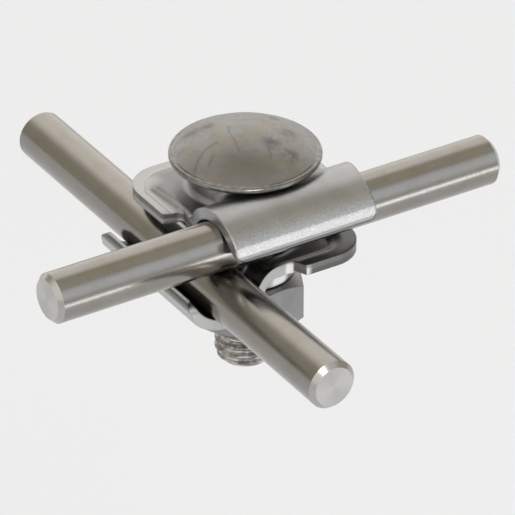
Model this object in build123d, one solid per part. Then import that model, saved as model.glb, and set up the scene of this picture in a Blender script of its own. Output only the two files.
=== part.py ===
from build123d import *
import math
import os

# Cross clamp for two round earthing conductors, gripped at right angles by one bolt.
# Millimetres, +Z up along the bolt. The pieces are drawn from a point on the bolt axis,
# at the level where the conductors touch. The upper one lies along X, the lower along Y.
# They are stored from the centre of the lower conductor's front end face.

# Conductors
rod_diameter = 8.0
rod_offset = 11.75          # from the bolt axis to each conductor's axis
rod_chamfer = 0.8
upper_rod_start = -42.2     # along X
upper_rod_end = 37.3
lower_rod_start = -44.2     # along Y
lower_rod_end = 43.7

# Clamp plates, formed alike from two blanks, described here as the upper one
sheet = 1.8
channel_radius = 6.3        # inside, for conductors of 8 to 10 mm
channel_root = 3.0          # bend from the wing up into the channel
lip_angle = 71.0            # how far the channel wraps, from its crest
lip_reach = 6.9             # from the conductor's axis out to the sheared lip
lip_slant = 12.0            # the sheared side leans in by this much, in degrees
lip_round = 0.9             # of the lip's edge, across the sheet
lip_corner = 1.8            # of the lip's two ends
wing_level = 4.3            # top of the wing above the joint plane
wing_half_width = 15.0
upper_wing_reach = 13.2     # from the bolt axis to the wing's back edge
lower_wing_reach = 13.6
wing_corner = 6.0
shoulder_corner = 0.4
waist_round = 1.2           # where the outline turns in from the wing
channel_blend = 3.0         # where it turns to run along the channel's end

# Ends of the blank: how far back the wing's shoulder is, the waist, the channel's corners
upper_left_end = (0.1, (-12.1, -1.2), (-12.9, -7.5))
upper_right_end = (2.0, (14.1, 1.0), (13.8, -6.0), (12.3, -14.5))
lower_left_end = (1.9, (-12.1, 0.7), (-14.2, -7.5))
lower_right_end = (1.9, (12.1, 0.7), (12.9, -7.5))

# Raised field pressed into the wing, inside a flat rim
field_rise = 0.9
field_slope = 30.0          # of its sides, in degrees from the wing
field_half_width = 13.3
field_back = 11.4
field_front = 7.0
field_corner = 4.6
field_root = 1.6
field_crown = 3.0

# Seat boss round the bolt hole, on the raised field
seat_level = 10.1           # the face that the head or the nut bears on
boss_radius = 8.7           # the hole's corners stay inside its wall
boss_draft = 2.0
boss_root = 1.2
boss_crown = 2.0

# Mushroom head bolt and nut, size M10
thread_diameter = 9.7       # over the crests of the thread
head_diameter = 23.84
head_height = 4.8
head_edge = 1.0             # height of the rounded rim below the dome
dome_inset = 0.55           # from the rim in to where the dome starts
neck_width = 10.1
neck_corner = 2.0
neck_height = 5.6
bolt_length = 36.1          # under the head
bolt_end_chamfer = 1.0
nut_width = 17.0
nut_height = 8.0
nut_face = 15.6             # diameter of the flat part of each face
nut_chamfer_angle = 30.0
nut_turn = 6.0              # where a corner of the nut points, in degrees from X

# Clearances
neck_clearance = 0.15       # between the neck and each side of the square hole
bore_clearance = 0.02       # between the shank and the nut's bore
sink = 1.0                  # how far a raised block starts inside the one below
reach = 40.0                # how far the forming blocks run past the plate


def crest_centre():
    """Height of the centre of the channel's arc, with the conductor under its crest."""
    return rod_diameter - channel_radius


def channel_section(inset):
    """The channel and the wing seen along X, as a filled outline under the sheet's face."""
    top = wing_level - inset
    radius = channel_radius + sheet - inset
    root = channel_root + inset
    centre_y = -rod_offset
    centre_z = crest_centre()
    root_z = top + root
    root_y = centre_y + math.sqrt((radius + root) ** 2 - (root_z - centre_z) ** 2)
    share = root / (radius + root)
    meet_y = root_y + (centre_y - root_y) * share
    meet_z = root_z + (centre_z - root_z) * share
    turn = math.atan2(root_z - meet_z, root_y - meet_y)
    middle = math.pi + (turn + math.pi / 2) / 2
    middle_point = (root_y + root * math.cos(middle), root_z + root * math.sin(middle))
    with BuildSketch(Plane.YZ) as section:
        with BuildLine():
            Line((reach, top), (root_y, top))
            ThreePointArc((root_y, top), middle_point, (meet_y, meet_z))
            ThreePointArc(
                (meet_y, meet_z),
                (centre_y, centre_z + radius),
                (centre_y - radius, centre_z),
            )
            Polyline(
                (centre_y - radius, centre_z),
                (centre_y - radius, -reach),
                (reach, -reach),
                (reach, top),
            )
        make_face()
    return section.sketch


def raised_field(inset):
    """The low field inside the wing's rim, with sloping sides and a rounded crown."""
    draft = 90 - field_slope
    lean = math.radians(draft)
    shrink = inset * (1 / math.cos(lean) - math.tan(lean))
    grow = sink * math.tan(lean) - shrink
    foot = RectangleRounded(
        2 * (field_half_width + grow),
        field_back + field_front + 2 * grow,
        field_corner + grow,
    )
    foot = Pos(0, (field_back - field_front) / 2, wing_level - inset - sink) * foot
    block = extrude(foot, field_rise + sink, taper=draft)
    return fillet(block.edges().group_by(Axis.Z)[-1], field_crown - inset)


def boss(inset):
    """The round boss that carries the bearing face up to the head or the nut."""
    lean = math.radians(boss_draft)
    foot = wing_level + field_rise
    base = wing_level - inset - sink
    height = seat_level - inset - base
    base_radius = boss_radius - inset / math.cos(lean) + (foot - base) * math.tan(lean)
    block = Cone(base_radius, base_radius - height * math.tan(lean), height)
    block = fillet(block.edges().group_by(Axis.Z)[-1], boss_crown - inset)
    return Pos(0, 0, base + height / 2) * block


def die(inset):
    """A forming die: its upper skin is the plate's top face, or that face moved in."""
    body = extrude(channel_section(inset), reach, both=True)
    for block, root in ((raised_field(inset), field_root), (boss(inset), boss_root)):
        joined = body + block
        seam = new_edges(body, block, combined=joined)
        body = fillet(seam, root + inset)
    return body


def corner_at(sketch, x, y):
    """The corner of an outline that lies nearest to a point."""
    return min(sketch.vertices(), key=lambda v: math.hypot(v.X - x, v.Y - y))


def blank_outline(left_end, right_end, wing_reach):
    """The blank from above: wing with rounded back corners, waists, channel part."""
    width = wing_half_width
    left_shoulder, *left_corners = left_end
    right_shoulder, *right_corners = right_end
    corners = [(left_corners[-1][0], -reach), *reversed(left_corners)]
    corners += [(-width, left_shoulder), (-width, wing_reach)]
    corners += [(width, wing_reach), (width, right_shoulder)]
    corners += [*right_corners, (right_corners[-1][0], -reach)]
    outline = make_face(Polyline(*corners, corners[0]))
    for side, end in ((-width, left_end), (width, right_end)):
        shoulder, waist, *channel_corners = end
        outline = fillet(corner_at(outline, side, wing_reach), wing_corner)
        outline = fillet(corner_at(outline, side, shoulder), shoulder_corner)
        outline = fillet(corner_at(outline, *waist), waist_round)
        for corner in channel_corners:
            outline = fillet(corner_at(outline, *corner), channel_blend)
    return outline


def lip_limit():
    """The space the channel's lip keeps to: its sheared side, rounded edge and end face."""
    corner_level = lip_reach / math.tan(math.radians(lip_angle))
    lean = reach * math.tan(math.radians(lip_slant))
    section = make_face(
        Polyline(
            (0, 0),
            (-lip_reach, corner_level),
            (lean - lip_reach, corner_level + reach),
            (reach, corner_level + reach),
            (reach, -reach),
            (0, -reach),
            (0, 0),
        )
    )
    section = fillet(corner_at(section, -lip_reach, corner_level), lip_round)
    return Pos(0, -rod_offset, crest_centre()) * extrude(Plane.YZ * section, reach, both=True)


def lip_end(x, inward):
    """What the blank's rounded corner leaves out of one end of the lip."""
    level = crest_centre() + lip_reach / math.tan(math.radians(lip_angle))
    centre = Pos(x + inward * lip_corner, -rod_offset - lip_reach, level + lip_corner)
    square = centre * Pos(-inward * lip_corner, 0, -lip_corner)
    block = square * Box(2 * lip_corner, lip_reach, 2 * lip_corner)
    return block - centre * Rot(90, 0, 0) * Cylinder(lip_corner, 2 * lip_reach)


def clamp_plate(left_end, right_end, wing_reach):
    """One pressing: a channel over its conductor, a raised field, a boss and a wing."""
    plate = die(0) - die(sheet)
    outline = blank_outline(left_end, right_end, wing_reach)
    plate = plate & extrude(outline, reach, both=True)
    plate = plate & lip_limit()
    for end, inward in ((left_end, 1), (right_end, -1)):
        plate = plate - lip_end(end[-1][0], inward)
    width = neck_width + 2 * neck_clearance
    hole = RectangleRounded(width, width, neck_corner + neck_clearance)
    return plate - extrude(hole, 2 * seat_level)


def bolt():
    """Mushroom head bolt with a square neck, forged in one piece."""
    head_radius = head_diameter / 2
    dome_start = head_radius - dome_inset
    dome_foot = seat_level + head_edge
    crown = seat_level + head_height
    end = seat_level - bolt_length
    shank = thread_diameter / 2
    rise = crown - dome_foot
    sphere = (dome_start ** 2 + rise ** 2) / (2 * rise)
    mid_radius = dome_start / 2
    mid_level = crown - sphere + math.sqrt(sphere ** 2 - mid_radius ** 2)
    with BuildSketch(Plane.XZ) as section:
        with BuildLine():
            Polyline(
                (0, end),
                (shank - bolt_end_chamfer, end),
                (shank, end + bolt_end_chamfer),
                (shank, seat_level),
                (dome_start, seat_level),
            )
            ThreePointArc(
                (dome_start, seat_level),
                (head_radius, seat_level + head_edge / 2),
                (dome_start, dome_foot),
            )
            ThreePointArc((dome_start, dome_foot), (mid_radius, mid_level), (0, crown))
            Line((0, crown), (0, end))
        make_face()
    body = revolve(section.sketch, Axis.Z)
    neck = extrude(RectangleRounded(neck_width, neck_width, neck_corner), neck_height)
    return body + Pos(0, 0, seat_level - neck_height) * neck


def nut():
    """Hexagon nut, chamfered on both faces, run up to the lower plate's seat."""
    corner = nut_width / math.sqrt(3)
    face = nut_face / 2
    prism = extrude(Rot(0, 0, nut_turn) * RegularPolygon(corner, 6), nut_height)
    drop = (corner - face) * math.tan(math.radians(nut_chamfer_angle))
    section = make_face(
        Polyline(
            (0, 0),
            (face, 0),
            (corner, drop),
            (corner, nut_height - drop),
            (face, nut_height),
            (0, nut_height),
            (0, 0),
        )
    )
    turned = revolve(Plane.XZ * section, Axis.Z)
    bore = Cylinder(thread_diameter / 2 + bore_clearance, 4 * nut_height)
    return Pos(0, 0, -seat_level - nut_height) * ((prism & turned) - bore)


def conductor(start, end):
    """A round conductor along X, with small chamfers, between two places."""
    rod = Cylinder(rod_diameter / 2, end - start)
    rod = chamfer(rod.edges().filter_by(GeomType.CIRCLE), rod_chamfer)
    return Pos((start + end) / 2, 0, 0) * Rot(0, 90, 0) * rod


turn_over = Axis((0, 0, 0), (1, 1, 0))
upper_rod = Pos(0, -rod_offset, rod_diameter / 2) * conductor(upper_rod_start, upper_rod_end)
lower_rod = conductor(lower_rod_start, lower_rod_end)
lower_rod = Pos(-rod_offset, 0, -rod_diameter / 2) * Rot(0, 0, 90) * lower_rod
lower_plate = clamp_plate(lower_left_end, lower_right_end, lower_wing_reach)

nodes = {
    "mushroom_head_bolt": bolt(),
    "upper_clamp_plate": clamp_plate(upper_left_end, upper_right_end, upper_wing_reach),
    "lower_clamp_plate": lower_plate.rotate(turn_over, 180),
    "hex_nut": nut(),
    "upper_conductor": upper_rod,
    "lower_conductor": lower_rod,
}

from_front_end = Pos(rod_offset, -lower_rod_start, rod_diameter / 2)

os.makedirs("parts", exist_ok=True)
for name, shape in nodes.items():
    export_step(from_front_end * shape, f"parts/{name}.step")
    print(name, len(shape.solids()), "solid", round(shape.volume, 1), "mm3")
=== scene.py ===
import math

import bmesh
import bpy
from mathutils import Matrix, Vector


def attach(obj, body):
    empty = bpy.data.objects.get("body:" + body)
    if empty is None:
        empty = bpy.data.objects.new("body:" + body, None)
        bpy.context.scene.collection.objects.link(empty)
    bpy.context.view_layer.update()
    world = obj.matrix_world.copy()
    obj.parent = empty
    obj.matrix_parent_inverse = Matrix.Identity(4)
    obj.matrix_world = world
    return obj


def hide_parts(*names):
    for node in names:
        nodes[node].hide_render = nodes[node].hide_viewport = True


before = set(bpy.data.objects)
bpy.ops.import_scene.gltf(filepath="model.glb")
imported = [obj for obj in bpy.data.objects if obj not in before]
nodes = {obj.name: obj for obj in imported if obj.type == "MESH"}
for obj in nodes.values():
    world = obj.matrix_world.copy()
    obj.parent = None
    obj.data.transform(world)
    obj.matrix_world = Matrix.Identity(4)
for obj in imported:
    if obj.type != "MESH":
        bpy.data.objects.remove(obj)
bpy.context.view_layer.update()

MM = 0.001

# The point on the bolt axis where the conductors touch, in the row frame
CROSSING = Vector((11.75, 44.2, 4.0)) * MM

# Camera: its place seen from that point, and what it looks at
AZIMUTH = -31.904
ELEVATION = 31.603
ROLL = 0.132
DISTANCE = 901.12 * MM
AIM_RIGHT = 1.886 * MM
AIM_UP = -7.080 * MM
FOCAL_PX = 5818.9
IMAGE_PX = 515.0
SENSOR = 36.0

# Conductors, in millimetres from the crossing, and soft steps in from their cut ends
AXIS_ASIDE = -11.75
AXIS_HEIGHT = 4.0
UPPER_ENDS = (-42.2, 37.3)
LOWER_ENDS = (-44.2, 43.7)
FACE_DEPTH = (0.02, 0.06)
CHAMFER_DEPTH = (0.75, 0.85)

# Bolt sizes that the visible thread follows
THREAD_CREST = 4.83 * MM
THREAD_ROOT = 4.12 * MM
THREAD_PITCH = 1.5 * MM
THREAD_TOP = 2.0 * MM
BOLT_END = -26.0 * MM
END_CHAMFER = 1.0 * MM
THREAD_COLUMNS = 96
THREAD_ROWS = 224
# Shares of half a pitch
CREST_SHARE = 0.12
FLANK_SHARE = 0.70

# Soft steps on the plates, in millimetres: across from the bolt axis
WING_START = (-6.5, -4.5)
INNER_SHADE_START = (-9.0, -7.0)
BURNISHED_HIGHLIGHT_BAND = (-15.6, -17.9)
LIP_EDGE = (-18.0, -18.25)
END_CUT_REACH = (3.0, 1.8)
END_CREST_START = (-0.8, 0.2)
# The same for the level away from the crossing, up on the upper plate and down on the lower
FIELD_RISE = (4.65, 5.05)
RIM_END = (4.32, 4.55)
CUT_END = (4.28, 4.36)
TORN_START = (3.55, 3.75)
LIP_HIGHLIGHT_LEVEL = (5.0, 5.3)
END_CREST_LEVEL = (2.9, 3.3)
# The same for one share of the surface's normal
UPRIGHT = (0.12, 0.2)
TURNED_IN = (-0.25, -0.6)
END_FACING = (0.6, 0.8)
# Painted highlight on a corner of the upper wing
WING_CORNER_HIGHLIGHT = (-12.0, 8.4, 4.8)

# Soft steps on the bolt: level above the crossing, or distance from its axis
DOME_START = (10.4, 11.2)
RIM_BOTTOM = (9.9, 10.05)
RIM_TOP = (11.2, 11.35)
RIM_RADIUS = (10.6, 11.0)
SHANK_END = (4.0, 4.6)

# The middle range of a noise
MIDDLE = (0.3, 0.7)

FLOOR_DROP = 300.0 * MM
FLOOR_REACH = 40.0
FLOOR_COLOUR = (0.79, 0.82, 0.90, 1.0)
FLOOR_ROUGHNESS = 0.9

# Lamps: azimuth and elevation in degrees, distance, width and height in metres, watts
LAMPS = {
    "front": (-18, 42, 1.0, 0.3, 0.2, 1.8),
    "low_card": (28, -16, 0.8, 0.2, 0.15, 0.26),
}

# World: a base and soft patches of azimuth, elevation, inner and outer reach in degrees, colour
WORLD_STRENGTH = 2.0
WORLD_BASE = (0.275, 0.255, 0.205)
WORLD_PATCHES = (
    (150, 12, 38, 58, (0.46, 0.45, 0.46)),
    (30, 25, 5, 30, (0.29, 0.335, 0.42)),
    (72, 62, 6, 28, (0.07, 0.065, 0.06)),
    (-60, 40, 20, 70, (0.35, 0.345, 0.34)),
)
# Below the horizon the world goes on in the floor's colour
HORIZON = (-0.004, -0.02)
WORLD_BELOW = (0.428, 0.426, 0.422, 1.0)


class Shader:
    """A node tree with short calls for the few nodes used here."""

    def __init__(self, tree):
        self.tree = tree
        self.tree.nodes.clear()

    def node(self, kind, **settings):
        made = self.tree.nodes.new(kind)
        for name, value in settings.items():
            setattr(made, name, value)
        return made

    def put(self, socket, value):
        if isinstance(value, bpy.types.NodeSocket):
            self.tree.links.new(value, socket)
        else:
            socket.default_value = value

    def math(self, operation, first, second=0.0, clamp=False):
        made = self.node("ShaderNodeMath", operation=operation, use_clamp=clamp)
        self.put(made.inputs[0], first)
        self.put(made.inputs[1], second)
        return made.outputs[0]

    def product(self, first, *others):
        for other in others:
            first = self.math("MULTIPLY", first, other)
        return first

    def hypotenuse(self, first, second):
        squares = self.math("ADD", self.product(first, first), self.product(second, second))
        return self.math("SQRT", squares)

    def most(self, values):
        """The greatest of several values."""
        greatest = values[0]
        for value in values[1:]:
            greatest = self.math("MAXIMUM", greatest, value)
        return greatest

    def vector(self, operation, first, second=(0.0, 0.0, 0.0)):
        made = self.node("ShaderNodeVectorMath", operation=operation)
        self.put(made.inputs[0], first)
        self.put(made.inputs[1], second)
        single = operation in ("DOT_PRODUCT", "LENGTH")
        return made.outputs["Value"] if single else made.outputs[0]

    def same(self, value):
        """A vector with this value three times."""
        made = self.node("ShaderNodeCombineXYZ")
        for socket in made.inputs:
            self.put(socket, value)
        return made.outputs[0]

    def split(self, vector):
        made = self.node("ShaderNodeSeparateXYZ")
        self.put(made.inputs[0], vector)
        return made.outputs[0], made.outputs[1], made.outputs[2]

    def smooth(self, value, low, high, to_low=0.0, to_high=1.0):
        """A soft step from one value to another."""
        made = self.node("ShaderNodeMapRange", interpolation_type="SMOOTHSTEP")
        for name, given in (
            ("Value", value),
            ("From Min", low),
            ("From Max", high),
            ("To Min", to_low),
            ("To Max", to_high),
        ):
            self.put(made.inputs[name], given)
        return made.outputs[0]

    def fade(self, value, low, high):
        """A soft step down from 1 to 0."""
        return self.smooth(value, low, high, 1.0, 0.0)

    def mix(self, share, first, second):
        """One colour turned into another by a share."""
        made = self.node("ShaderNodeMix", data_type="RGBA")
        self.put(made.inputs[0], share)
        self.put(made.inputs[6], first)
        self.put(made.inputs[7], second)
        return made.outputs[2]

    def turn(self, share, first, second):
        """One number turned into another by a share."""
        rest = self.product(self.math("SUBTRACT", 1.0, share), first)
        return self.math("ADD", rest, self.product(share, second))

    def as_grey(self, value):
        """A colour with this value three times."""
        made = self.node("ShaderNodeCombineColor")
        for socket in made.inputs[:3]:
            self.put(socket, value)
        return made.outputs[0]

    def noise(self, where, scale, detail=2.0, roughness=0.5, distortion=0.0):
        made = self.node("ShaderNodeTexNoise")
        self.put(made.inputs["Vector"], where)
        made.inputs["Scale"].default_value = scale
        made.inputs["Detail"].default_value = detail
        made.inputs["Roughness"].default_value = roughness
        made.inputs["Distortion"].default_value = distortion
        return made.outputs[0]

    def bump(self, height, strength, distance, normal=None):
        made = self.node("ShaderNodeBump")
        made.inputs["Strength"].default_value = strength
        made.inputs["Distance"].default_value = distance
        self.put(made.inputs["Height"], height)
        if normal is not None:
            self.put(made.inputs["Normal"], normal)
        return made.outputs[0]

    def soft_edges(self, radius):
        """A normal that rounds every sharp edge by this much."""
        made = self.node("ShaderNodeBevel", samples=6)
        made.inputs["Radius"].default_value = radius
        return made.outputs[0]

    def spot(self, where, centre, inner, outer):
        """1 within the inner radius of a point, fading to 0 at the outer one."""
        away = self.vector("LENGTH", self.vector("SUBTRACT", where, centre))
        return self.fade(away, inner, outer)

    def stroke(self, where, start, end, width):
        """1 along the line between two points, fading to 0 over its width."""
        line = Vector(end) - Vector(start)
        away = self.vector("SUBTRACT", where, start)
        share = self.vector("DOT_PRODUCT", away, line / line.length_squared)
        share = self.math("MULTIPLY", share, 1.0, clamp=True)
        foot = self.vector("MULTIPLY", self.same(share), line)
        return self.fade(self.vector("LENGTH", self.vector("SUBTRACT", away, foot)), 0.0, width)


def grey(level, warmth=0.0):
    """A linear grey, warmer for a positive warmth."""
    return (level * (1 + warmth), level, level * (1 - 1.6 * warmth), 1.0)


# The tones are steps against each other. This share of them is the metal's own colour
TONE = 0.5

WIRE_DULL = grey(0.55, 0.042)
WIRE_LIGHT = grey(0.575, 0.034)
WIRE_BROWN = grey(0.50, 0.075)
WIRE_SPECK = grey(0.9)
# The chamfer tone is partly fresh-cut metal, partly a painted highlight
WIRE_CHAMFER_HIGHLIGHT = grey(0.82, 0.01)

# Some plate tones stand in for light: painted shade on the raised field, the inner faces, the
# fold lines and the lower plate's cut faces; painted highlight or reflection on the rim, the wing
# corner, the lip and the lower plate's cut ends
PLATE_DULL = grey(0.60, -0.012)
PLATE_LIGHT = grey(0.69, -0.018)
PLATE_FIELD_SHADE = grey(0.43, -0.004)
PLATE_RIM_REFLECTION = grey(0.80, -0.008)
PLATE_INNER_SHADE = grey(0.19)
PLATE_FOLD_SHADE = grey(0.27)
PLATE_CORNER_HIGHLIGHT = grey(0.82, -0.006)
PLATE_SPARKLE = grey(0.95)
CUT_TORN = grey(0.26, 0.02)
CUT_UPPER = grey(0.60, 0.01)
CUT_LOWER_SHADED = grey(0.36, 0.01)
SHINE_DULL = grey(0.70, -0.02)
SHINE_LIGHT = grey(1.0, -0.01)
LIP_SHADE = grey(0.40)
LIP_HIGHLIGHT_PALE = grey(0.80)
LIP_HIGHLIGHT_BRIGHT = grey(0.99)
END_CUT_HIGHLIGHT = grey(0.95, -0.004)
END_CREST_HIGHLIGHT = grey(1.8)

NUT_DULL = grey(0.51)
NUT_LIGHT = grey(0.57, -0.004)

HEAD_GREY = grey(0.545, -0.01)
HEAD_BROWN = grey(0.48, 0.065)
HEAD_MOTTLE = grey(0.39, 0.01)
HEAD_RING = grey(0.56, 0.02)
HEAD_PALE = grey(0.52, 0.10)
HEAD_ROSY = (0.58, 0.49, 0.42, 1.0)
HEAD_BRUISE = (0.27, 0.255, 0.275, 1.0)
HEAD_CREASE = grey(0.26, 0.10)
HEAD_FRONT = grey(0.31, 0.065)
HEAD_RIM = grey(0.35, 0.02)
HEAD_NICK = grey(0.46, 0.01)
THREAD_DARK = grey(0.42, 0.015)
THREAD_WORN = grey(1.10, 0.01)


def new_material(name):
    made = bpy.data.materials.new(name)
    made.use_nodes = True
    return made, Shader(made.node_tree)


def metal(sh, colour, roughness, normal, metallic=1.0):
    body = sh.node("ShaderNodeBsdfPrincipled")
    sh.put(body.inputs["Metallic"], metallic)
    sh.put(body.inputs["Base Color"], sh.vector("MULTIPLY", colour, (TONE, TONE, TONE)))
    sh.put(body.inputs["Roughness"], roughness)
    sh.put(body.inputs["Normal"], normal)
    out = sh.node("ShaderNodeOutputMaterial")
    sh.put(out.inputs["Surface"], body.outputs[0])


def from_crossing(sh):
    """Object coordinates in millimetres, counted from the crossing point."""
    where = sh.node("ShaderNodeTexCoord").outputs["Object"]
    return sh.vector("MULTIPLY", sh.vector("SUBTRACT", where, CROSSING), (1000.0, 1000.0, 1000.0))


def conductor_steel(name, along, ends, axis_height):
    """Drawn stainless wire: marks run along it, its chamfers are brighter, partly by a painted
    highlight, and its end faces are brighter, with turning rings and a painted sheen.
    """
    made, sh = new_material(name)
    where = from_crossing(sh)
    axes = sh.split(where)
    length = axes[along]
    across = sh.math("SUBTRACT", axes[1 - along], AXIS_ASIDE)
    height = sh.math("SUBTRACT", axes[2], axis_height)

    def drawn(squash, scale, detail):
        """Noise drawn out along the wire."""
        factors = [1.0, 1.0, 1.0]
        factors[along] = squash
        return sh.noise(sh.vector("MULTIPLY", where, factors), scale, detail, 0.6)

    def near_end(inner, outer):
        """1 within the inner distance of either end, 0 beyond the outer one."""
        start = sh.fade(length, ends[0] + inner, ends[0] + outer)
        return sh.math("MAXIMUM", start, sh.smooth(length, ends[1] - outer, ends[1] - inner))

    streaks = drawn(0.035, 2.6, 3.0)
    fine = drawn(0.18, 9.0, 2.0)
    clouds = sh.noise(where, 0.35, 3.0, 0.55)
    colour = sh.mix(sh.smooth(streaks, *MIDDLE), WIRE_DULL, WIRE_LIGHT)
    colour = sh.mix(sh.smooth(clouds, 0.42, 0.7, 0.0, 0.6), colour, WIRE_BROWN)
    specks = sh.node("ShaderNodeTexVoronoi", feature="F1")
    sh.put(specks.inputs["Vector"], where)
    specks.inputs["Scale"].default_value = 0.42
    speck = sh.fade(specks.outputs["Distance"], 0.02, 0.07)
    colour = sh.mix(sh.product(speck, 0.7), colour, WIRE_SPECK)
    rough = sh.math("ADD", sh.smooth(fine, *MIDDLE, 0.16, 0.22), sh.product(streaks, 0.04))

    face = near_end(*FACE_DEPTH)
    chamfer = sh.product(near_end(*CHAMFER_DEPTH), sh.math("SUBTRACT", 1.0, face))
    # Brighter chamfer: partly its fresh-cut metal, partly a painted highlight
    colour = sh.mix(chamfer, colour, WIRE_CHAMFER_HIGHLIGHT)
    rings = sh.math("SINE", sh.product(sh.hypotenuse(across, height), 22.0))
    angle = sh.math("ARCTAN2", height, across)
    # A painted sheen that brightens and darkens with the angle round the end face, over the real
    # turning rings
    painted_sheen = sh.math("SINE", sh.math("ADD", sh.product(angle, 2.0), 0.9))
    turned = sh.math("ADD", sh.product(rings, 0.03), sh.product(painted_sheen, 0.07))
    colour = sh.mix(face, colour, sh.as_grey(sh.math("ADD", turned, 0.89)))
    rough = sh.turn(face, rough, 0.5)
    metallic = sh.math("SUBTRACT", 1.0, sh.product(face, 0.75))
    metal(sh, colour, rough, sh.bump(fine, 0.04, 0.00005), metallic)
    return made


def fold_shade_lines(sh, where):
    """Painted shade: dark lines in the folds and slopes of the upper wing, beside its left edge
    and round its corner.
    """
    flat = sh.vector("MULTIPLY", where, (1.0, 1.0, 0.0))
    lines = (
        ((-12.8, 6.7, 0.0), (-12.4, -0.4, 0.0), 0.35),
        ((-12.0, 6.2, 0.0), (-11.3, -1.5, 0.0), 0.45),
        ((-13.7, -0.2, 0.0), (-13.8, 7.0, 0.0), 0.22),
        ((-13.8, 7.0, 0.0), (-12.5, 9.4, 0.0), 0.22),
        ((-12.5, 9.4, 0.0), (-9.6, 10.9, 0.0), 0.22),
    )
    return sh.most([sh.stroke(flat, *line) for line in lines])


def plate_steel(name, lower):
    """Satin pressing with sparkle and torn cut faces. Its raised field is duller by painted
    shade, and its rim and lip are bright by painted reflection and highlight.
    """
    made, sh = new_material(name)
    where = from_crossing(sh)
    x, y, z = sh.split(where)
    across, level, outward = (x, sh.product(z, -1.0), -1.0) if lower else (y, z, 1.0)
    facing = sh.split(sh.node("ShaderNodeNewGeometry").outputs["Normal"])

    grain = sh.noise(where, 7.0, 3.0, 0.65)
    sparkle = sh.noise(where, 16.0, 1.0, 0.5)
    clouds = sh.noise(where, 0.28, 3.0, 0.5)
    colour = sh.mix(sh.smooth(clouds, *MIDDLE), PLATE_DULL, PLATE_LIGHT)
    rough = sh.smooth(grain, *MIDDLE, 0.27, 0.37)

    wing = sh.smooth(across, *WING_START)
    # Painted shade: the raised field under the bolt head is made darker
    field = sh.product(wing, sh.smooth(level, *FIELD_RISE), 0.85)
    colour = sh.mix(field, colour, PLATE_FIELD_SHADE)
    # Painted reflection: the flat rim band round the wing is made lighter
    rim = sh.product(wing, sh.fade(level, *RIM_END), 0.8)
    colour = sh.mix(rim, colour, PLATE_RIM_REFLECTION)

    upright = sh.fade(sh.math("ABSOLUTE", facing[2]), *UPRIGHT)
    cut = sh.product(upright, sh.fade(level, *CUT_END), wing)
    torn = sh.smooth(sh.math("ADD", level, sh.product(clouds, 0.5)), *TORN_START)
    # The lower plate's cut faces take a darker copy of the cut-face tone: painted shade
    cut_colour = sh.mix(torn, CUT_LOWER_SHADED if lower else CUT_UPPER, CUT_TORN)
    colour = sh.mix(cut, colour, cut_colour)

    # Near the lip a band is brighter and glittering: partly burnish, partly a painted highlight
    glitter = sh.smooth(sh.noise(where, 5.0, 3.0, 0.7), 0.45, 0.6)
    burnish_and_highlight = sh.mix(glitter, SHINE_DULL, SHINE_LIGHT)
    colour = sh.mix(sh.product(sh.smooth(across, *BURNISHED_HIGHLIGHT_BAND), 0.9), colour, burnish_and_highlight)
    # The lip's cut edge: a painted highlight on its upper part, painted shade on its lower part
    lip = sh.smooth(across, *LIP_EDGE)
    ragged = sh.product(sh.math("SUBTRACT", grain, 0.5), 0.6)
    highlight_share = sh.smooth(sh.math("ADD", level, ragged), *LIP_HIGHLIGHT_LEVEL)
    lip_colour = sh.mix(highlight_share, LIP_SHADE, sh.mix(glitter, LIP_HIGHLIGHT_PALE, LIP_HIGHLIGHT_BRIGHT))
    colour = sh.mix(lip, colour, lip_colour)
    rough = sh.turn(lip, rough, 0.19)

    # Painted shade: faces turned towards the other plate, between the parts, are made dark
    turned_in = sh.smooth(sh.product(facing[2], outward), *TURNED_IN)
    inner = sh.product(turned_in, sh.smooth(across, *INNER_SHADE_START))
    colour = sh.mix(inner, colour, PLATE_INNER_SHADE)

    metallic = 1.0
    if lower:
        # Painted highlight: the cut ends are painted bright from the channel to the wing, and
        # whitest where they meet
        end_cut_highlight = sh.smooth(sh.math("ABSOLUTE", facing[1]), *END_FACING)
        end_cut_highlight = sh.product(end_cut_highlight, sh.smooth(across, *END_CUT_REACH))
        crest_highlight = sh.smooth(across, *END_CREST_START)
        crest_highlight = sh.product(crest_highlight, sh.smooth(level, *END_CREST_LEVEL))
        colour = sh.mix(end_cut_highlight, colour, sh.mix(crest_highlight, END_CUT_HIGHLIGHT, END_CREST_HIGHLIGHT))
        metallic = sh.math("SUBTRACT", 1.0, sh.product(end_cut_highlight, 0.7))
    else:
        # Painted shade along the folds and slopes of the upper wing
        colour = sh.mix(sh.product(fold_shade_lines(sh, where), wing, 0.55), colour, PLATE_FOLD_SHADE)
        # Painted highlight on a corner of the upper wing
        corner = sh.spot(where, WING_CORNER_HIGHLIGHT, 0.4, 2.6)
        colour = sh.mix(sh.product(corner, 0.6), colour, PLATE_CORNER_HIGHLIGHT)

    colour = sh.mix(sh.smooth(sparkle, 0.62, 0.72, 0.0, 0.35), colour, PLATE_SPARKLE)
    normal = sh.bump(grain, 0.18, 0.00006, sh.soft_edges(0.0005))
    metal(sh, colour, rough, normal, metallic)
    return made


def nut_steel():
    """Plain steel nut with faint facing marks."""
    made, sh = new_material("nut_steel")
    where = from_crossing(sh)
    grain = sh.noise(sh.vector("MULTIPLY", where, (1.0, 1.0, 0.3)), 5.0, 3.0, 0.6)
    clouds = sh.noise(where, 0.3, 2.0, 0.5)
    colour = sh.mix(sh.smooth(clouds, *MIDDLE), NUT_DULL, NUT_LIGHT)
    rough = sh.smooth(grain, *MIDDLE, 0.34, 0.46)
    metal(sh, colour, rough, sh.bump(grain, 0.12, 0.00005, sh.soft_edges(0.0003)))
    return made


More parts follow.
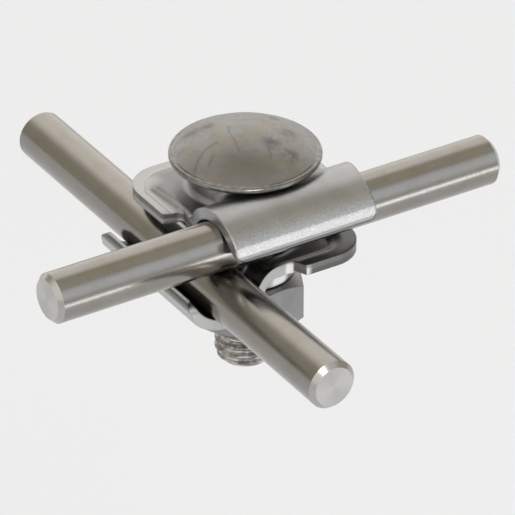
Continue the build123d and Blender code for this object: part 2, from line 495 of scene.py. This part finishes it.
def head_stains(sh, where, colour, on_dome):
    """The dome's marks, and a darker, browner front side, each at its place as seen from above.
    """
    wander = sh.math("SUBTRACT", sh.noise(where, 0.5, 3.0, 0.6), 0.5)
    shift = sh.vector("MULTIPLY", sh.same(wander), (1.6, 1.6, 0.0))
    flat = sh.vector("MULTIPLY", sh.vector("ADD", where, shift), (1.0, 1.0, 0.0))

    pad = (-0.5, -0.8, 0.0)
    disc = sh.spot(flat, pad, 3.1, 3.5)
    ring = sh.product(sh.spot(flat, pad, 3.7, 4.3), sh.math("SUBTRACT", 1.0, disc), 0.3)
    colour = sh.mix(ring, colour, HEAD_RING)
    pale_spots = (((-2.2, 3.3, 0.0), 1.6), ((2.9, -0.9, 0.0), 1.5))
    pale = sh.most([sh.spot(flat, centre, 0.2, reach) for centre, reach in pale_spots])
    colour = sh.mix(sh.product(pale, 0.55), colour, HEAD_PALE)
    rosy = sh.spot(flat, (-3.5, 0.9, 0.0), 0.2, 1.4)
    colour = sh.mix(sh.product(rosy, 0.5), colour, HEAD_ROSY)

    bruises = (
        ((-6.1, 6.3, 0.0), 2.4),
        ((-3.8, 5.1, 0.0), 2.0),
        ((1.8, -4.6, 0.0), 2.3),
        ((3.3, -7.6, 0.0), 2.2),
        ((5.9, -2.7, 0.0), 2.0),
        ((6.6, 2.4, 0.0), 1.4),
    )
    bruised = sh.most([sh.spot(flat, centre, 0.1, reach) for centre, reach in bruises])
    blotchy = sh.smooth(sh.noise(where, 0.8, 3.0, 0.6), 0.30, 0.52)
    colour = sh.mix(sh.product(bruised, blotchy, 0.9), colour, HEAD_BRUISE)

    creases = (
        ((-1.9, 2.2, 0.0), (-2.9, -0.9, 0.0), 0.28),
        ((-2.9, -0.9, 0.0), (-3.5, -4.1, 0.0), 0.28),
        ((-5.1, -0.1, 0.0), (-7.1, 0.0, 0.0), 0.40),
        ((-7.1, 0.0, 0.0), (-9.4, -1.2, 0.0), 0.45),
        ((-9.4, -1.2, 0.0), (-11.1, -2.9, 0.0), 0.40),
        ((-7.1, -2.2, 0.0), (-8.3, -2.9, 0.0), 0.40),
        ((0.8, -5.4, 0.0), (0.1, -7.2, 0.0), 0.40),
    )
    creased = sh.most([sh.stroke(flat, *crease) for crease in creases])
    colour = sh.mix(sh.product(creased, on_dome, 0.5), colour, HEAD_CREASE)
    # The dome is made darker and browner towards its front side
    front = sh.spot(flat, (-6.2, -9.0, 0.0), 2.0, 9.0)
    return sh.mix(sh.product(front, on_dome, 0.8), colour, HEAD_FRONT)


def bolt_steel():
    """Dull forged head with creases and stains, a smoother dark rim and a worn thread."""
    made, sh = new_material("bolt_steel")
    where = from_crossing(sh)
    x, y, z = sh.split(where)
    stains = sh.noise(where, 0.16, 4.0, 0.6, 0.4)
    mottle = sh.noise(where, 0.55, 4.0, 0.65)
    fine = sh.noise(where, 4.0, 3.0, 0.6)
    colour = sh.mix(sh.smooth(stains, 0.42, 0.62), HEAD_GREY, HEAD_BROWN)
    colour = sh.mix(sh.smooth(mottle, 0.46, 0.68, 0.0, 0.5), colour, HEAD_MOTTLE)
    rough = sh.smooth(fine, *MIDDLE, 0.38, 0.50)
    colour = head_stains(sh, where, colour, sh.smooth(z, *DOME_START))

    rim = sh.product(sh.smooth(z, *RIM_BOTTOM), sh.fade(z, *RIM_TOP))
    rim = sh.product(rim, sh.smooth(sh.hypotenuse(x, y), *RIM_RADIUS))
    nicks = sh.smooth(sh.noise(where, 1.2, 2.0, 0.6), 0.4, 0.65)
    colour = sh.mix(rim, colour, sh.mix(nicks, HEAD_RIM, HEAD_NICK))
    rough = sh.turn(rim, rough, 0.17)

    shank = sh.fade(z, *SHANK_END)
    squashed = sh.vector("MULTIPLY", where, (0.5, 0.5, 1.0))
    worn = sh.smooth(sh.noise(squashed, 0.9, 3.0, 0.6), 0.42, 0.62)
    colour = sh.mix(shank, colour, sh.mix(worn, THREAD_DARK, THREAD_WORN))
    metal(sh, colour, rough, sh.bump(mottle, 0.10, 0.0003))
    return made


def thread_radius(turn, level):
    """Radius of the threaded shank at a place round and along the bolt."""
    phase = (level / THREAD_PITCH - turn) % 1.0
    flank = abs(phase - 0.5) * 2.0
    share = min(max((flank - CREST_SHARE) / FLANK_SHARE, 0.0), 1.0)
    radius = THREAD_CREST + (THREAD_ROOT - THREAD_CREST) * share
    cone = THREAD_CREST - END_CHAMFER + (level - BOLT_END)
    return min(radius, cone)


def threaded_bolt(cad):
    """The CAD bolt down to below its neck, with a threaded shank in place of the plain one."""
    mesh = bmesh.new()
    mesh.from_mesh(cad.data)
    bmesh.ops.bisect_plane(
        mesh,
        geom=mesh.verts[:] + mesh.edges[:] + mesh.faces[:],
        plane_co=CROSSING + Vector((0, 0, THREAD_TOP)),
        plane_no=(0, 0, 1),
        clear_inner=True,
    )
    rings = []
    for row in range(THREAD_ROWS + 1):
        level = THREAD_TOP + (BOLT_END - THREAD_TOP) * row / THREAD_ROWS
        ring = []
        for column in range(THREAD_COLUMNS):
            turn = column / THREAD_COLUMNS
            radius = thread_radius(turn, level)
            angle = 2 * math.pi * turn
            out = Vector((radius * math.cos(angle), radius * math.sin(angle), level))
            ring.append(mesh.verts.new(CROSSING + out))
        rings.append(ring)
    for upper, lower in zip(rings, rings[1:]):
        for column in range(THREAD_COLUMNS):
            after = (column + 1) % THREAD_COLUMNS
            corners = (upper[column], lower[column], lower[after], upper[after])
            mesh.faces.new(corners).smooth = True
    mesh.faces.new(reversed(rings[-1]))
    data = bpy.data.meshes.new("bolt_with_thread")
    mesh.to_mesh(data)
    mesh.free()
    piece = bpy.data.objects.new("bolt_with_thread", data)
    bpy.context.scene.collection.objects.link(piece)
    return piece


def dress(obj, material):
    obj.data.materials.clear()
    obj.data.materials.append(material)


dress(nodes["upper_clamp_plate"], plate_steel("upper_plate_steel", False))
dress(nodes["lower_clamp_plate"], plate_steel("lower_plate_steel", True))
bolt_look = bolt_steel()
dress(nodes["hex_nut"], nut_steel())
upper_wire = conductor_steel("upper_conductor_steel", 0, UPPER_ENDS, AXIS_HEIGHT)
lower_wire = conductor_steel("lower_conductor_steel", 1, LOWER_ENDS, -AXIS_HEIGHT)
dress(nodes["upper_conductor"], upper_wire)
dress(nodes["lower_conductor"], lower_wire)

bolt = threaded_bolt(nodes["mushroom_head_bolt"])
dress(bolt, bolt_look)
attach(bolt, "upper_half")
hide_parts("mushroom_head_bolt")


def direction(azimuth, elevation):
    """Unit vector: azimuth 0 is towards -Y, positive to +X."""
    a = math.radians(azimuth)
    e = math.radians(elevation)
    return Vector((math.sin(a) * math.cos(e), -math.cos(a) * math.cos(e), math.sin(e)))


def area_light(name, azimuth, elevation, distance, width, height, power):
    """A rectangular lamp that faces the crossing."""
    data = bpy.data.lights.new(name, "AREA")
    data.shape = "RECTANGLE"
    data.size = width
    data.size_y = height
    data.energy = power
    lamp = bpy.data.objects.new(name, data)
    lamp.location = CROSSING + direction(azimuth, elevation) * distance
    facing = (lamp.location - CROSSING).normalized()
    lamp.rotation_euler = facing.to_track_quat("Z", "Y").to_euler()
    bpy.context.scene.collection.objects.link(lamp)


def studio_world():
    """Soft light by direction, the same for every kind of ray."""
    world = bpy.data.worlds.new("studio")
    bpy.context.scene.world = world
    world.use_nodes = True
    sky = Shader(world.node_tree)
    ray = sky.node("ShaderNodeTexCoord").outputs["Generated"]
    light = WORLD_BASE
    for azimuth, elevation, inner, outer, colour in WORLD_PATCHES:
        facing = sky.vector("DOT_PRODUCT", ray, direction(azimuth, elevation))
        reach = (math.cos(math.radians(outer)), math.cos(math.radians(inner)))
        share = sky.same(sky.smooth(facing, *reach))
        light = sky.vector("ADD", light, sky.vector("MULTIPLY", share, colour))
    light = sky.mix(sky.smooth(sky.split(ray)[2], *HORIZON), light, WORLD_BELOW)
    background = sky.node("ShaderNodeBackground")
    sky.put(background.inputs["Color"], light)
    background.inputs["Strength"].default_value = WORLD_STRENGTH
    out = sky.node("ShaderNodeOutputWorld")
    sky.put(out.inputs["Surface"], background.outputs[0])


def pale_floor():
    """A pale floor some way below, seen by the camera and in the metal alike."""
    mesh = bmesh.new()
    bmesh.ops.create_grid(mesh, x_segments=1, y_segments=1, size=FLOOR_REACH)
    data = bpy.data.meshes.new("floor")
    mesh.to_mesh(data)
    mesh.free()
    floor = bpy.data.objects.new("floor", data)
    floor.location = CROSSING - Vector((0, 0, FLOOR_DROP))
    bpy.context.scene.collection.objects.link(floor)
    made, sh = new_material("floor_pale")
    body = sh.node("ShaderNodeBsdfPrincipled")
    body.inputs["Base Color"].default_value = FLOOR_COLOUR
    body.inputs["Roughness"].default_value = FLOOR_ROUGHNESS
    out = sh.node("ShaderNodeOutputMaterial")
    sh.put(out.inputs["Surface"], body.outputs[0])
    floor.data.materials.append(made)


def photo_camera():
    """The photograph's viewpoint, rolled and moved aside as it was fitted."""
    back = direction(AZIMUTH, ELEVATION)
    azimuth = math.radians(AZIMUTH)
    level_right = Vector((math.cos(azimuth), math.sin(azimuth), 0))
    level_up = back.cross(level_right)
    roll = math.radians(ROLL)
    right = level_right * math.cos(roll) + level_up * math.sin(roll)
    up = level_up * math.cos(roll) - level_right * math.sin(roll)
    data = bpy.data.cameras.new("camera")
    data.sensor_width = SENSOR
    data.lens = FOCAL_PX / IMAGE_PX * SENSOR
    camera = bpy.data.objects.new("camera", data)
    place = CROSSING + back * DISTANCE + right * AIM_RIGHT + up * AIM_UP
    turned = Matrix((right, up, back)).transposed().to_4x4()
    camera.matrix_world = Matrix.Translation(place) @ turned
    bpy.context.scene.collection.objects.link(camera)
    bpy.context.scene.camera = camera


for lamp_name, settings in LAMPS.items():
    area_light(lamp_name, *settings)
studio_world()
pale_floor()
photo_camera()

bpy.context.scene.view_settings.view_transform = "Standard"

bpy.context.view_layer.update()
